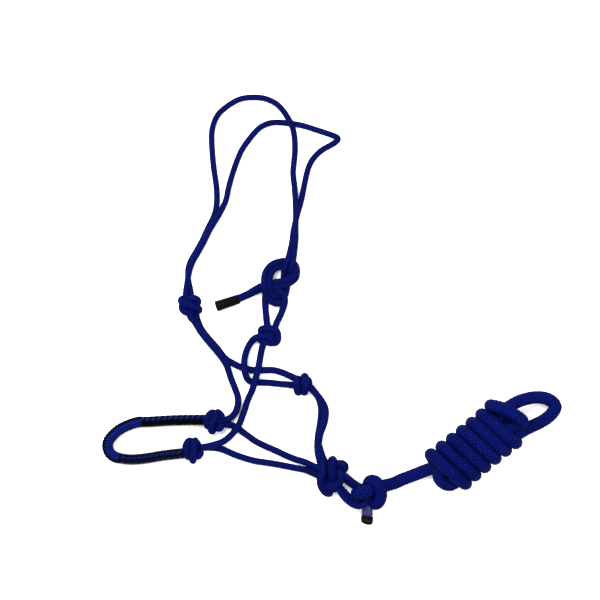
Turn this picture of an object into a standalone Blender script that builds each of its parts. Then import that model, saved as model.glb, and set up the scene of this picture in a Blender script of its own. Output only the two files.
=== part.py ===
"""Rope halter with its lead rope, laid out flat on a surface.

Axes: +Z up from the surface, +Y towards the crown (the part behind the ears), +X towards the
lead. The origin is on the surface, under the middle of the halter's own box, give or take 3 mm.
Routes are listed in millimetres and turned into metres by MM; everything else is in metres.
"""
import math

import bmesh
import bpy
from mathutils import Matrix, Vector

MM = 0.001
GAP = 0.0003              # running gap between touching pieces
FACET_STEP = 0.004        # step used to read a smooth curve before it is thinned out

# Driving dimensions
HALTER_ROPE_RADIUS = 0.0035
CROWN_ROPE_RADIUS = 0.0031      # the crown's two strands are pulled straight and thin
HEEL_ROPE_RADIUS = 0.0032
LEAD_ROPE_RADIUS = 0.0070
ROPE_SPACING = 0.015            # between a halter tube's points, about two diameters
LEAD_SPACING = 0.014

PLAIT_HALF_WIDTH = 0.0064
PLAIT_HALF_HEIGHT = 0.0087
PLAIT_WALL = 0.0018
CORE_RADIUS = 0.0032
CORE_OFFSET = 0.0034            # each core strand's distance above or below the plait's axis

TAIL_CAP_HALF_WIDTH = 0.0053
TAIL_CAP_HALF_HEIGHT = 0.0080
TAIL_CAP_LENGTH = 0.0255
TAIL_CAP_WALL = 0.0010
TAIL_CAP_END = Vector((-0.0200, -0.0035, TAIL_CAP_HALF_HEIGHT))
TAIL_CAP_MOUTH = Vector((0.0045, 0.0040, TAIL_CAP_HALF_HEIGHT))

CROWN_AXIS = Vector((0.0077, 0.0347, 0.0034))    # the crown folds up about this level line
LEAD_AXIS = Vector((0.1495, -0.2135, 0.0162))    # the heel loop's end, where the lead swings
TURN_MAJOR_RADIUS = 0.0114
TURN_MINOR_RADIUS = 0.0045
LEAD_KNOT_LOBES = [
    ((0.1640, -0.2000, 0.0135), 0.0074),
    ((0.1655, -0.2110, 0.0135), 0.0085),
    ((0.1645, -0.2215, 0.0130), 0.0076),
]
SLEEVE_WALL = 0.0006
SLEEVE_TOP = -0.2330            # the clear sleeve covers the tail between these two Y values
SLEEVE_END = -0.2394
LEAD_CAP_TOP = -0.2405          # and the black cap takes over from here to the end
LEAD_TAIL_RADIUS = 0.0058
LEAD_CAP_WALL = 0.0008
LEAD_CAP_END = -0.2497

HANK_START = Vector((0.2265, -0.1990, 0.0))      # middle of the end that the lead runs into
HANK_DIRECTION = math.radians(38.9)
HANK_LENGTH = 0.1080
HANK_WIDTH = 0.0600
HANK_THICKNESS = 0.0500
HANK_END_RADIUS = 0.0220
HANK_EDGE_ROUND = 0.0110

KNOT_SEAT = 0.86                 # how far below its middle a knot is flat, of its half height

# Knots: centre on the surface, half width, half length, height
KNOTS = {
    "left_cheek_knot": ((-0.0495, -0.0030), (0.0134, 0.0114), 0.0185),
    "right_cheek_knot": ((0.0390, -0.0380), (0.0138, 0.0118), 0.0190),
    "throat_knot": ((0.0760, -0.0930), (0.0123, 0.0129), 0.0190),
    "nose_knot_upper": ((-0.0230, -0.1340), (0.0116, 0.0143), 0.0190),
    "nose_knot_lower": ((-0.0470, -0.1675), (0.0128, 0.0146), 0.0190),
    "fiador_knot": ((0.1090, -0.1965), (0.0190, 0.0235), 0.0240),
}

ROPES = {
    "crown_rope_outer": [
        (-52, 11.6, 3.4), (-52.5, 19.5, 3.4), (-52.5, 28.5, 3.4), (-51.5, 39, 3.4),
        (-45, 54.5, 3.4), (-36, 68.5, 3.4), (-29.5, 82.5, 3.4), (-22.5, 97, 3.4),
        (-20.5, 111, 3.4), (-21, 128, 3.4), (-24, 150.5, 3.4), (-25.5, 171, 3.4),
        (-25.5, 187.5, 3.4), (-24, 199, 3.4), (-18.5, 210.5, 3.4), (-6, 221, 3.4),
        (7.5, 227, 3.4), (21.5, 228.5, 3.4), (35, 227, 3.6), (48.5, 220, 6.5),
        (59, 208, 10.3), (65, 194.5, 10.3), (67.5, 180, 6.5), (67.5, 165, 3.6),
        (66, 145, 3.4), (68, 127, 5.2), (69, 112.5, 9.6), (69.5, 98, 10.3),
        (69, 82.5, 10.3), (68.4, 70, 8), (67.8, 63, 5), (67.5, 57.9, 3.4),
    ],
    "crown_rope_inner": [
        (-45, 14.4, 3.4), (-45.3, 22, 3.8), (-46.8, 30, 8.3), (-49, 40, 10), (-43, 53, 10),
        (-34, 67, 10), (-27, 81, 10), (-19, 95.5, 9.6), (-14, 105.5, 8), (-10, 115, 5.2),
        (-7, 128, 3.6), (-2, 145.5, 3.4), (6.5, 167.5, 3.4), (16, 181, 3.4),
        (27.5, 194, 3.4), (38.5, 199.5, 3.4), (48.5, 200.5, 3.4), (62, 199, 3.4),
        (76, 196.5, 3.4), (93.5, 191, 3.4), (110, 186, 3.4), (116.5, 182.5, 3.4),
        (111, 177, 3.4), (96.5, 168.5, 3.4), (86.5, 157.5, 3.4), (82, 145, 3.4),
        (78.5, 128, 3.4), (75.5, 112.5, 3.4), (70.5, 96.5, 3.4), (65, 78.5, 3.4),
        (61.4, 63, 3.4), (60.3, 55.2, 3.4),
    ],
    "cheek_rope_left": [
        (-50, -12, 7), (-49, -18.5, 8.5), (-45, -21.5, 10.6), (-38.5, -32.5, 10.6),
        (-30, -43.5, 10.6), (-21.5, -54.5, 10.6), (-14, -64, 10.6), (-9, -72, 9.4),
        (-5, -84.5, 4.4), (-0.5, -96, 3.7), (3, -107, 3.7), (3, -116.5, 3.7),
        (-1, -125.5, 4.4), (-8.5, -131, 7), (-20.5, -134, 9),
    ],
    "throat_rope_upper": [
        (-44, -9.5, 3.7), (-42, -19, 3.7), (-36.5, -30.5, 3.7), (-27.5, -42, 3.7),
        (-19, -52.5, 3.7), (-12, -62, 3.7), (-5.5, -67, 3.7), (1, -70.5, 3.7),
        (8.5, -74, 3.7), (18.5, -76.5, 3.7), (29.5, -77, 3.7), (44, -77.5, 3.7),
        (55.5, -81, 3.7), (64.5, -85, 4), (73.5, -88, 5),
    ],
    "throat_rope_lower": [
        (31, -37.5, 5), (24.5, -40, 3.7), (18, -45, 3.7), (12.5, -54.5, 5.2),
        (10, -64.5, 9.8), (10, -73.5, 11.4), (12, -82.5, 9.2), (16, -88.5, 4.6),
        (23, -91, 3.7), (37, -91.5, 3.7), (51, -93, 3.7), (63.5, -94, 3.7), (73.5, -95, 5),
    ],
    "cheek_rope_right": [
        (34, -41, 5), (32, -47.5, 5), (29, -57.5, 6.4), (27, -69, 10.6), (25, -79, 11.5),
        (22.5, -90, 11.8), (19, -100, 9.2), (14.5, -110.5, 4.8), (11.5, -121.5, 5.4),
        (8, -131.5, 9.8), (4, -140.5, 11.4), (-3.5, -150, 10.8), (-12.5, -156.5, 10.8),
        (-24, -160.5, 11), (-38.5, -163.5, 11),
    ],
    "chin_rope_upper": [
        (-20.5, -138, 4), (-9.5, -139, 3.7), (-1.5, -140.4, 3.7), (5, -144, 3.7),
        (11.8, -148.6, 3.7), (23, -156.6, 3.7), (34.2, -162.2, 3.7), (45.4, -167.5, 3.7),
        (56.6, -172.5, 3.7), (67.8, -177, 3.7), (79, -181.2, 3.7), (89, -186.2, 4.5),
        (100, -190, 6),
    ],
    "chin_rope_lower": [
        (-41, -164, 3.7), (-32, -163, 3.7), (-24, -163, 3.7), (-13.5, -165, 3.7),
        (0.6, -171.9, 3.7), (11.8, -175.8, 3.7), (23, -178.9, 3.7), (34.2, -180.6, 3.7),
        (45.4, -182.2, 3.7), (56.6, -183.9, 3.7), (67.8, -186.2, 3.7), (79, -189.8, 3.7),
        (89, -194.3, 4.3), (100, -197.5, 6),
    ],
    "throat_drop_front": [
        (80, -93.5, 5), (87.3, -98.9, 3.7), (93.8, -107.5, 3.7), (97, -119.5, 3.7),
        (96.3, -134, 3.7), (94, -150.5, 3.7), (93.4, -166.5, 3.7), (95.4, -177.5, 3.8),
        (99.4, -186.5, 5),
    ],
    "throat_drop_back": [
        (80, -91.5, 9), (86.2, -95.4, 10.4), (95, -106, 11.2), (100.8, -115.5, 10.4),
        (102.2, -123, 9.6), (100.8, -135, 9.9), (96.6, -148, 10.8), (94.8, -160, 11),
        (95.6, -172, 11.2), (100, -183, 12),
    ],
    "tie_loop": [
        (37, -33, 5), (36.5, -26.5, 3.7), (35.5, -16, 3.7), (34.5, -5, 3.7), (34.2, 3, 3.7),
        (35, 9, 3.9), (39, 13, 5.9), (44, 12.5, 10.3), (50.5, 9.8, 11.4), (55.8, 4, 9),
        (56.2, -2.5, 4.8), (54, -9.5, 3.7), (50.5, -17.5, 3.7), (47, -25, 3.7), (45, -33, 5),
    ],
    "heel_loop_upper": [
        (118, -191, 17), (123.5, -193.9, 17.4), (129, -197.8, 18), (135, -202, 18.4),
        (141, -204.4, 19), (146.4, -205.4, 19.55), (149.5, -208.6, 19.55), (149.5, -213.5, 19.55),
        (149.5, -220, 19.55), (147.5, -225, 19.55), (140, -228, 18.8), (132.5, -228, 17.8),
        (124, -222, 17.2), (117, -212, 17),
    ],
    "heel_loop_lower": [
        (118, -193.6, 9.6), (123.5, -196.8, 9.8), (129, -200.6, 10.4), (134.5, -203.6, 11.4),
        (141, -204.9, 12.4), (146.4, -206, 12.85), (149.5, -209, 12.85), (149.5, -213.5, 12.85),
        (149.5, -218.5, 12.85), (147, -222.5, 12.6), (140, -225.5, 11.6), (133, -225, 10.6),
        (125.5, -219.5, 9.8), (118, -210.5, 9.6),
    ],
}

NOSEBAND_ROUTE = [
    (-38, -132.5, 9), (-50, -133, 9), (-72, -133.5, 9), (-94.5, -134.5, 9),
    (-106.5, -135.5, 9), (-117.5, -139, 9), (-127.5, -144, 9), (-135, -150.5, 9),
    (-140, -156.5, 9), (-141.5, -163, 9), (-140, -169, 9), (-135.5, -173.5, 9),
    (-128, -176, 9), (-117, -177.5, 9), (-106, -177, 9), (-94.5, -175.5, 9),
    (-83.5, -173.5, 9), (-72, -172, 9), (-61.5, -170.5, 9),
]
HITCH_ROUTE = [
    (63.2, 49.5, 3.6), (62, 40, 3.5), (59.5, 29, 3.5), (55, 17, 3.4), (49.5, 3, 3.6), (46, -3, 6),
    (41, -1.5, 11), (35.5, 7, 11.8), (32.5, 18, 11.6), (33.5, 31, 11.4), (40, 41.5, 11),
    (49, 46, 10.4), (58, 44, 10.8), (67, 38.5, 10.6), (70.5, 30.5, 9.4), (66, 23.5, 10.6),
    (58, 20.5, 11), (50, 20.5, 10.6), (44.5, 20, 9),
]
LEAD_RUN_ROUTE = [
    (173.6, -205.6, 9.8), (178, -203.4, 8.4), (185.5, -200, 7.3), (201, -194, 7.1),
    (216.5, -187.5, 8.5),
]
LEAD_END_LOOP_ROUTE = [
    (304.5, -119.5, 22), (309.5, -115.5, 21.6), (321, -110, 20), (337, -107, 13),
    (351, -109, 9), (359.5, -117, 7.3), (355, -125.5, 8.6), (345.5, -133, 12.5),
    (333, -139, 18), (324.5, -143, 21),
]
LEAD_TAIL_ROUTE = [
    (159, -226, 9), (153.5, -229, 7.6), (149.7, -232.5, 7), (148.5, -236, 7), (148.5, -239.5, 7),
    (148.5, -243, 7), (148.5, -248.5, 7),
]

COLOURS = {
    "halter_rope": ((0.008, 0.012, 0.115), 0.62),
    "lead_rope": ((0.006, 0.009, 0.095), 0.66),
    "noseband_plait": ((0.006, 0.006, 0.008), 0.55),
    "shrink_cap": ((0.006, 0.006, 0.006), 0.42),
    "clear_sleeve": ((0.10, 0.11, 0.13), 0.18),
}


def clear_scene():
    for thing in list(bpy.data.objects):
        bpy.data.objects.remove(thing, do_unlink=True)


def make_collection(name):
    collection = bpy.data.collections.new(name)
    bpy.context.scene.collection.children.link(collection)
    return collection


def make_material(name):
    colour, roughness = COLOURS[name]
    material = bpy.data.materials.new(name)
    material.use_nodes = True
    shader = material.node_tree.nodes["Principled BSDF"]
    shader.inputs["Base Color"].default_value = (*colour, 1.0)
    shader.inputs["Roughness"].default_value = roughness
    shader.inputs["Metallic"].default_value = 0.0
    return material


def add_object(name, data, collection, material=None):
    thing = bpy.data.objects.new(name, data)
    collection.objects.link(thing)
    if material is not None:
        data.materials.append(material)
    return thing


def catmull_rom(before, start, end, after, share):
    """A point of the smooth curve between start and end."""
    return 0.5 * (
        2.0 * start
        + (end - before) * share
        + (2.0 * before - 5.0 * start + 4.0 * end - after) * share ** 2
        + (3.0 * start - before - 3.0 * end + after) * share ** 3
    )


def smooth_curve(route, step=FACET_STEP / 4):
    """Closely spaced points along a smooth curve through a route listed in millimetres."""
    knots = [Vector(point) * MM for point in route]
    ends = [2 * knots[0] - knots[1]] + knots + [2 * knots[-1] - knots[-2]]
    points = []
    for before, start, end, after in zip(ends, ends[1:], ends[2:], ends[3:]):
        pieces = max(2, math.ceil((end - start).length / step))
        points += [catmull_rom(before, start, end, after, k / pieces) for k in range(pieces)]
    return points + [knots[-1]]


def thin_out(points, spacing):
    """Evenly spaced points along a closely spaced line, closer where it bends sharply."""
    kept = [points[0]]
    travelled = 0.0
    turned = 0.0
    for before, point, after in zip(points, points[1:], points[2:]):
        travelled += (point - before).length
        turned += (point - before).angle(after - point, 0.0)
        if travelled >= spacing or (turned > math.radians(24) and travelled > spacing / 8):
            kept.append(point)
            travelled = 0.0
            turned = 0.0
    if (points[-1] - kept[-1]).length < spacing / 8:
        kept.pop()
    return kept + [points[-1]]


def knot_shape(name):
    (x, y), (half_width, half_length), height = KNOTS[name]
    half_height = height / (1.0 + KNOT_SEAT)
    centre = Vector((x, y, half_height * KNOT_SEAT))
    return centre, Vector((half_width, half_length, half_height))


def inside_knot(point, name, margin):
    centre, half = knot_shape(name)
    offset = point - centre
    return sum((offset[k] / (half[k] + margin)) ** 2 for k in range(3)) < 1.0


def end_disc_clear(point, direction, radius, knots):
    """Whether a rope cut square at this point stays clear of the knots."""
    side = direction.orthogonal().normalized()
    rim = [point]
    for k in range(12):
        turn = Matrix.Rotation(k * math.pi / 6, 3, direction)
        rim.append(point + turn @ side * radius)
    return not any(inside_knot(place, name, GAP) for place in rim for name in knots)


def trim_to_knots(points, radius):
    """Cut both ends of a rope back to the faces of the knots it goes into."""
    for _ in range(2):
        first = 0
        while first < len(points) // 2:
            direction = (points[first + 1] - points[first]).normalized()
            if end_disc_clear(points[first], direction, radius, KNOTS):
                break
            first += 1
        points = points[first:][::-1]
    return points


def tube(name, points, radius, collection, material, sides=2):
    """A round rope along the points, closed at both ends."""
    curve = bpy.data.curves.new(name, "CURVE")
    curve.dimensions = "3D"
    curve.bevel_depth = radius
    curve.bevel_resolution = sides
    curve.use_fill_caps = True
    curve.render_resolution_u = 0
    spline = curve.splines.new("POLY")
    spline.points.add(len(points) - 1)
    for spot, point in zip(spline.points, points):
        spot.co = (*point, 1.0)
    return add_object(name, curve, collection, material)


def rope_radius(name):
    if name.startswith("crown_rope"):
        return CROWN_ROPE_RADIUS
    if name.startswith("heel_loop"):
        return HEEL_ROPE_RADIUS
    return HALTER_ROPE_RADIUS


def make_ropes(collection, material):
    for name, route in ROPES.items():
        radius = rope_radius(name)
        points = trim_to_knots(smooth_curve(route), radius)
        tube(name, thin_out(points, ROPE_SPACING), radius, collection, material)


def make_knot(name, collection, material):
    """A lumpy rounded form with a flat underside where it lies on the surface."""
    centre, half = knot_shape(name)
    mesh = bpy.data.meshes.new(name)
    knot = add_object(name, mesh, collection, material)
    body = bmesh_sphere(20, 12)
    for vertex in body.verts:
        around = math.atan2(vertex.co.y, vertex.co.x)
        lumps = 0.93 + 0.07 * math.cos(4 * around + 3 * vertex.co.z)
        level = max(vertex.co.z * lumps, -KNOT_SEAT)
        vertex.co = Vector((
            vertex.co.x * lumps * half.x,
            vertex.co.y * lumps * half.y,
            (level + KNOT_SEAT) * half.z,
        ))
    body.to_mesh(mesh)
    body.free()
    knot.location = (centre.x, centre.y, 0.0)
    mesh.shade_smooth()
    return knot


def bmesh_sphere(segments, rings):
    body = bmesh.new()
    bmesh.ops.create_uvsphere(body, u_segments=segments, v_segments=rings, radius=1.0)
    return body


def make_noseband(collection, plait_material, rope_material):
    """Two core strands, one above the other, inside the plaited sleeve."""
    route = smooth_curve(NOSEBAND_ROUTE)
    profile = bpy.data.curves.new("plait_profile", "CURVE")
    profile.dimensions = "2D"
    profile.render_resolution_u = 0
    ring = profile.splines.new("POLY")
    ring.points.add(15)
    for k, spot in enumerate(ring.points):
        turn = 2 * math.pi * k / 16
        spot.co = (PLAIT_HALF_WIDTH * math.cos(turn), PLAIT_HALF_HEIGHT * math.sin(turn), 0, 1)
    ring.use_cyclic_u = True
    guide = bpy.data.objects.new("plait_profile", profile)
    guide.hide_render = True
    guide.display_type = "WIRE"
    guides = make_collection("guides")
    guides.objects.link(guide)

    sleeve = tube("noseband_plait", thin_out(route, 0.012), 0.0, collection, plait_material)
    sleeve.data.bevel_mode = "OBJECT"
    sleeve.data.bevel_object = guide
    sleeve.data.use_fill_caps = False
    sleeve.data.twist_mode = "Z_UP"
    wall = sleeve.modifiers.new("wall", "SOLIDIFY")
    wall.thickness = PLAIT_WALL
    wall.offset = 1.0

    for name, side in (("noseband_core_upper", 1), ("noseband_core_lower", -1)):
        lift = Vector((0, 0, side * CORE_OFFSET))
        strand = [point + lift for point in thin_out(route, 0.012)]
        tube(name, strand, CORE_RADIUS, collection, rope_material)


def make_crown_end(collection, rope_material, cap_material):
    """The crown's two free ends, one on the other, in one oval shrink-on cap."""
    along = (TAIL_CAP_MOUTH - TAIL_CAP_END).normalized()
    level = TAIL_CAP_HALF_HEIGHT
    for name, side in (("crown_tail_lower", -1), ("crown_tail_upper", 1)):
        lift = Vector((0, 0, side * (CROWN_ROPE_RADIUS + GAP)))
        start = Vector((0.0265, 0.0145, level))
        middle = Vector((0.0140, 0.0080, level))
        inner = TAIL_CAP_END + along * (TAIL_CAP_WALL + 0.001)
        points = [start, middle, TAIL_CAP_MOUTH, inner]
        tube(name, [point + lift for point in points], CROWN_ROPE_RADIUS, collection, rope_material)

    cap = cup(
        "crown_end_cap", TAIL_CAP_HALF_WIDTH, TAIL_CAP_HALF_HEIGHT, TAIL_CAP_LENGTH,
        TAIL_CAP_WALL, collection, cap_material)
    stand_along(cap, TAIL_CAP_END, along)


def make_lead_knot(collection, cutters, material):
    """A turn of the lead round the heel loop's end, with the knot's lobes beyond it."""
    bpy.ops.mesh.primitive_torus_add(
        major_radius=TURN_MAJOR_RADIUS, minor_radius=TURN_MINOR_RADIUS,
        major_segments=28, minor_segments=10, location=LEAD_AXIS,
        rotation=(math.radians(90), 0, 0))
    knot = bpy.context.object
    knot.name = "lead_knot"
    knot.data.name = "lead_knot"
    knot.data.materials.append(material)
    for holder in list(knot.users_collection):
        holder.objects.unlink(knot)
    collection.objects.link(knot)
    for number, (place, radius) in enumerate(LEAD_KNOT_LOBES, start=1):
        mesh = bpy.data.meshes.new(f"lead_lobe_{number}")
        body = bmesh_sphere(16, 10)
        for vertex in body.verts:
            vertex.co *= radius
        body.to_mesh(mesh)
        body.free()
        lobe = add_object(f"lead_lobe_{number}", mesh, cutters)
        lobe.location = place
        lobe.hide_render = True
        lobe.display_type = "WIRE"
        join = knot.modifiers.new(f"lobe_{number}", "BOOLEAN")
        join.operation = "UNION"
        join.solver = "EXACT"
        join.object = lobe


def open_sleeve(name, points, outer, wall, collection, material):
    """A thin sleeve round a rope, open at both ends."""
    sleeve = tube(name, points, outer, collection, material, 3)
    sleeve.data.use_fill_caps = False
    thickness = sleeve.modifiers.new("wall", "SOLIDIFY")
    thickness.thickness = wall
    thickness.offset = 1.0
    return sleeve


def cup(name, half_width, half_height, length, wall, collection, material):
    """An oval cap, closed at its origin and open towards its own +Z."""
    mesh = bpy.data.meshes.new(name)
    shell = bmesh.new()
    bmesh.ops.create_cone(
        shell, cap_ends=True, segments=24, radius1=1.0, radius2=1.0, depth=length)
    mouth = [
        face for face in shell.faces
        if len(face.verts) > 4 and face.calc_center_median().z > 0.0
    ]
    bmesh.ops.delete(shell, geom=mouth, context="FACES_ONLY")
    for vertex in shell.verts:
        vertex.co.x *= half_width
        vertex.co.y *= half_height
        vertex.co.z += length / 2
    shell.to_mesh(mesh)
    shell.free()
    thing = add_object(name, mesh, collection, material)
    thickness = thing.modifiers.new("wall", "SOLIDIFY")
    thickness.thickness = wall
    thickness.offset = -1.0
    return thing


def stand_along(thing, place, direction):
    """Put a cap's closed end at a place, with its mouth facing along a level direction."""
    up = Vector((0, 0, 1))
    side = up.cross(direction).normalized()
    turn = Matrix((side, up, side.cross(up)))
    thing.matrix_world = Matrix.Translation(place) @ turn.transposed().to_4x4()


def make_lead_end(collection, rope_material, sleeve_material, cap_material):
    """The lead's short tail, its clear shrink sleeve and the black cap on its end."""
    points = smooth_curve(LEAD_TAIL_ROUTE)
    tube("lead_tail", thin_out(points, 0.005), LEAD_TAIL_RADIUS, collection, rope_material, 3)
    covered = [point for point in points if SLEEVE_END < point.y < SLEEVE_TOP]
    outer = LEAD_TAIL_RADIUS + 2 * GAP + SLEEVE_WALL
    open_sleeve(
        "lead_tail_sleeve", thin_out(covered, 0.003), outer, SLEEVE_WALL,
        collection, sleeve_material)
    end = points[-1]
    cap = cup(
        "lead_end_cap", outer, outer, LEAD_CAP_TOP - LEAD_CAP_END, LEAD_CAP_WALL,
        collection, cap_material)
    stand_along(cap, Vector((end.x, LEAD_CAP_END, end.z)), Vector((0, 1, 0)))


def make_hank(collection, material):
    """The wound length of the lead: a plan outline with round ends, as thick as the hank."""
    half_length = HANK_LENGTH / 2
    half_width = HANK_WIDTH / 2
    outline = bpy.data.curves.new("lead_hank", "CURVE")
    outline.dimensions = "2D"
    outline.fill_mode = "BOTH"
    outline.extrude = HANK_THICKNESS / 2
    outline.render_resolution_u = 0
    corners = [(1, 1), (-1, 1), (-1, -1), (1, -1)]
    rim = []
    for number, (x_side, y_side) in enumerate(corners):
        for k in range(6):
            turn = math.radians(90) * (number + k / 5)
            rim.append((
                x_side * (half_length - HANK_END_RADIUS) + HANK_END_RADIUS * math.cos(turn),
                y_side * (half_width - HANK_END_RADIUS) + HANK_END_RADIUS * math.sin(turn),
            ))
    spline = outline.splines.new("POLY")
    spline.points.add(len(rim) - 1)
    for spot, (x, y) in zip(spline.points, rim):
        spot.co = (x, y, 0.0, 1.0)
    spline.use_cyclic_u = True
    hank = add_object("lead_hank", outline, collection, material)
    along = Vector((math.cos(HANK_DIRECTION), math.sin(HANK_DIRECTION), 0.0))
    hank.location = HANK_START + along * half_length + Vector((0, 0, HANK_THICKNESS / 2))
    hank.rotation_euler = (0, 0, HANK_DIRECTION)
    weld = hank.modifiers.new("weld", "WELD")
    weld.merge_threshold = 0.0001
    edge = hank.modifiers.new("round_edges", "BEVEL")
    edge.width = HANK_EDGE_ROUND
    edge.segments = 3
    edge.limit_method = "ANGLE"
    edge.angle_limit = math.radians(50)


def carry(name, place, collection, children):
    """Parent the pieces of a moving body to an empty on its joint's axis."""
    pivot = add_object(name, None, collection)
    pivot.empty_display_size = 0.02
    pivot.location = place
    bpy.context.view_layer.update()
    for child in children:
        piece = bpy.data.objects[child]
        piece.parent = pivot
        piece.matrix_parent_inverse = pivot.matrix_world.inverted()


def main():
    clear_scene()
    collection = make_collection("rope_halter")
    cutters = make_collection("cutters")
    materials = {name: make_material(name) for name in COLOURS}
    rope = materials["halter_rope"]
    lead = materials["lead_rope"]

    make_ropes(collection, rope)
    for name in KNOTS:
        make_knot(name, collection, rope)
    hitch = thin_out(smooth_curve(HITCH_ROUTE), 0.008)
    tube("tie_hitch", hitch, CROWN_ROPE_RADIUS, collection, rope)
    make_crown_end(collection, rope, materials["shrink_cap"])
    make_noseband(collection, materials["noseband_plait"], rope)

    make_lead_knot(collection, cutters, lead)
    run = thin_out(smooth_curve(LEAD_RUN_ROUTE), LEAD_SPACING)
    tube("lead_run", run, LEAD_ROPE_RADIUS, collection, lead, 3)
    make_hank(collection, lead)
    loop = thin_out(smooth_curve(LEAD_END_LOOP_ROUTE), LEAD_SPACING)
    tube("lead_end_loop", loop, LEAD_ROPE_RADIUS, collection, lead, 3)
    make_lead_end(collection, lead, materials["clear_sleeve"], materials["shrink_cap"])

    carry("crown_pivot", CROWN_AXIS, collection, ["crown_rope_outer", "crown_rope_inner"])
    lead_pieces = ["lead_knot", "lead_run", "lead_hank", "lead_end_loop", "lead_tail",
                   "lead_tail_sleeve", "lead_end_cap"]
    carry("lead_pivot", LEAD_AXIS, collection, lead_pieces)


main()
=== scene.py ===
import math

import bpy
import numpy as np
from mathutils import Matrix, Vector


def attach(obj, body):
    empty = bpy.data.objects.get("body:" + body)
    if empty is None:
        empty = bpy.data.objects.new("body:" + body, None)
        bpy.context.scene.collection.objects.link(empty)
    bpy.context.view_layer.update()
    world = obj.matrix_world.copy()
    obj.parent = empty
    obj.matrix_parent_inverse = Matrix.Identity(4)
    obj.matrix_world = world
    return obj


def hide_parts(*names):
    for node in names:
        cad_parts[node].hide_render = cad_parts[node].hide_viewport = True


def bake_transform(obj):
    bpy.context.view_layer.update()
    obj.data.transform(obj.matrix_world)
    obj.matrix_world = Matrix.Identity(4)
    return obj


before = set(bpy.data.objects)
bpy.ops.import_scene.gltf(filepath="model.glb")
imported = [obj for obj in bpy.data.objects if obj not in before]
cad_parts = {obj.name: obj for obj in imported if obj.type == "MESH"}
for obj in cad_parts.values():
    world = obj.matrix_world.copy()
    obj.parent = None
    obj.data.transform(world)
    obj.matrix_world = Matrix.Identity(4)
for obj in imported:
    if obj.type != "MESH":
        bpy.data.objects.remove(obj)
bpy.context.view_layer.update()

MM = 0.001
HALTER_RADIUS = 0.0038
CROWN_RADIUS = 0.0034
TIED_RADIUS = 0.0035            # the same strands where the hitch squeezes them
HEEL_RADIUS = 0.0034
LEAD_RADIUS = 0.0072
TAIL_RADIUS = 0.0061
CORE_RADIUS = 0.0032
ROPE_STEP = 0.00075             # how far apart the points of a rope's line are
LEAD_STEP = 0.0011
ROPE_PASSES = 12                # how many times a line's kinks are eased
KNOT_PASSES = 8
LEAD_PASSES = 10
ROPE_SIDES = 28
CROWN_SIDES = 24
LEAD_SIDES = 40
CORE_SIDES = 16
CORD_SIDES = 10
TIED_FROM_END = (-0.205, -0.185, -0.060, -0.040)   # where the hitch squeezes the strands

# A braid: pairs of strands round the rope, how they slant, and how deep the gaps between them are.
HALTER_WEAVE = (8, 0.8, 0.00030)
LEAD_WEAVE = (12, 0.85, 0.00062)
PLAIT_WEAVE = (4, 0.8, 0.00018)
STRAND_ROUNDNESS = 0.7
STRAND_LOW = 0.45               # how high a strand is where it dives under, of its full height
STRAND_RISE = 0.55

# ---------------------------------------------------------------- routes, in millimetres

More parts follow.
